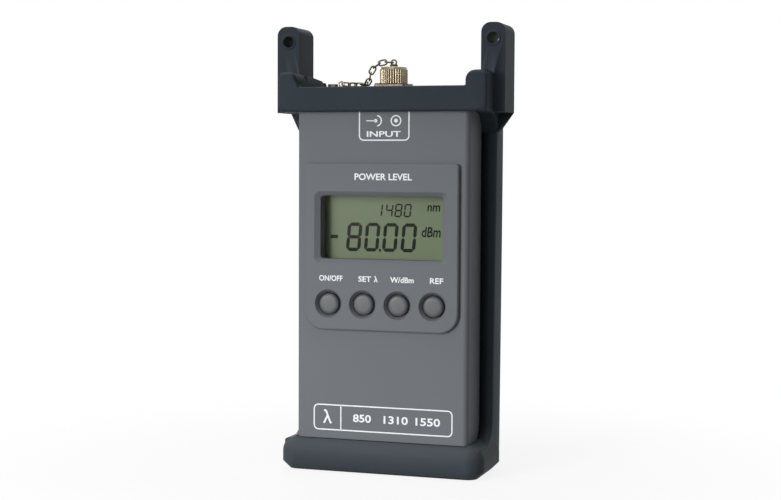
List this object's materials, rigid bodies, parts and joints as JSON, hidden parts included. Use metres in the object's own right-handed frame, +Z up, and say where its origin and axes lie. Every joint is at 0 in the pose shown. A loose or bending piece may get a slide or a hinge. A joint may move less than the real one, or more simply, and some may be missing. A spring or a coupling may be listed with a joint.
{
  "type": "optical power meter",
  "caption": "Handheld optical power meter in a rubber boot, with a display, four keys and a capped fibre port on top.",
  "frame": {"origin": "on the ground, below the middle of the whole object's box", "axes": "+Z up; the display and keys face -Y; +X to the right seen from the front"},
  "size_m": [0.096, 0.036, 0.18],
  "materials": {
    "boot_rubber": "matte moulded rubber, blue-grey",
    "shell_plastic": "fine-textured ABS, mid grey",
    "plate_black": "fine texture",
    "window_clear": "clear polished",
    "lcd_green": "grey-green liquid crystal cell",
    "strip_rubber": "matte",
    "light_guide": "milky",
    "frame_black": "satin",
    "board_green": "solder mask",
    "tin_plate": "tinned",
    "battery_wrap": "printed steel jacket",
    "nickel": "nickel plated brass",
    "cap_metal": "nickel plated, knurled",
    "chain_metal": "tarnished brass wire",
    "key_grey": "smooth moulded",
    "screw_steel": "zinc plated"
  },
  "bodies": {
    "meter": {"holster": "boot_rubber", "front_cover": "shell_plastic", "rear_cover": "shell_plastic", "battery_door": "shell_plastic", "end_plate": "plate_black", "display_window": "window_clear", "lcd_glass": "lcd_green", "contact_strips": "strip_rubber", "backlight": "light_guide", "lcd_frame": "frame_black", "key_switches": "frame_black", "main_board": "board_green", "microcontroller": "frame_black", "amplifier_shield": "tin_plate", "battery": "battery_wrap", "battery_contacts": "tin_plate", "optical_port": "nickel", "photodetector": "nickel", "detector_leads": "tin_plate", "tether_chain": "chain_metal", "anchor_eyelet": "chain_metal", "case_screws": "screw_steel", "board_screws": "screw_steel", "port_screws": "screw_steel", "door_screw": "screw_steel", "anchor_screw": "screw_steel"},
    "key_power": {"key_power": "key_grey"},
    "key_wavelength": {"key_wavelength": "key_grey"},
    "key_units": {"key_units": "key_grey"},
    "key_reference": {"key_reference": "key_grey"},
    "cap_eye": {"cap_eye": "chain_metal"},
    "dust_cap": {"dust_cap": "cap_metal"}
  },
  "joints": [
    {"name": "press_power", "type": "slide", "parent": "meter", "child": "key_power", "axis": [0, 1, 0], "range_m": [0, 0.0005], "stiffness_N_per_m": 2000, "springref_m": -0.0005},
    {"name": "press_wavelength", "type": "slide", "parent": "meter", "child": "key_wavelength", "axis": [0, 1, 0], "range_m": [0, 0.0005], "stiffness_N_per_m": 2000, "springref_m": -0.0005},
    {"name": "press_units", "type": "slide", "parent": "meter", "child": "key_units", "axis": [0, 1, 0], "range_m": [0, 0.0005], "stiffness_N_per_m": 2000, "springref_m": -0.0005},
    {"name": "press_reference", "type": "slide", "parent": "meter", "child": "key_reference", "axis": [0, 1, 0], "range_m": [0, 0.0005], "stiffness_N_per_m": 2000, "springref_m": -0.0005},
    {"name": "cap_lift", "type": "slide", "parent": "meter", "child": "cap_eye", "axis": [0, 0, 1], "range_m": [0, 0.0052], "deforming": ["tether_chain"]},
    {"name": "cap_spin", "type": "hinge", "parent": "cap_eye", "child": "dust_cap", "pos_m": [0, 0.00125, 0.1597], "axis": [0, 0, 1], "range_deg": [0, 2497]}
  ],
  "couplings": [
    {"joint": "cap_spin", "follows": "cap_lift", "rad_per_m": 8377.6}
  ]
}
